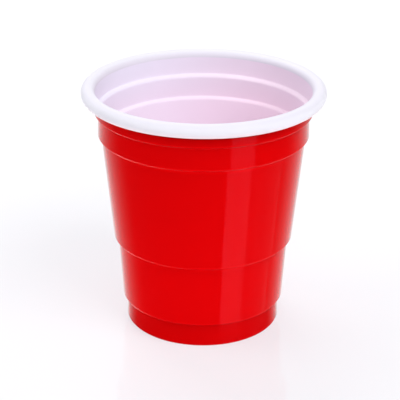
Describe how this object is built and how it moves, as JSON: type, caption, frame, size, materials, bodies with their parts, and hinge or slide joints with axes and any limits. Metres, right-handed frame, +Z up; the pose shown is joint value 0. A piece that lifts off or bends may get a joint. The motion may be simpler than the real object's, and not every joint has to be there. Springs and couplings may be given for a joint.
{
  "type": "plastic shot cup",
  "caption": "Small tapered thermoformed plastic cup with stepped bands, a rolled rim, a glossy red outside and a white inside.",
  "frame": {"origin": "middle of the foot, on the surface that the cup stands on", "axes": "+Z up along the cup's axis, from the foot towards the open rim; X and Y are alike, because the cup is round"},
  "size_m": [0.0518, 0.0518, 0.0536],
  "materials": {
    "cup_plastic": "glossy red outside, white inside and over the rolled rim"
  },
  "bodies": {
    "root": {"cup": "cup_plastic"}
  },
  "joints": []
}
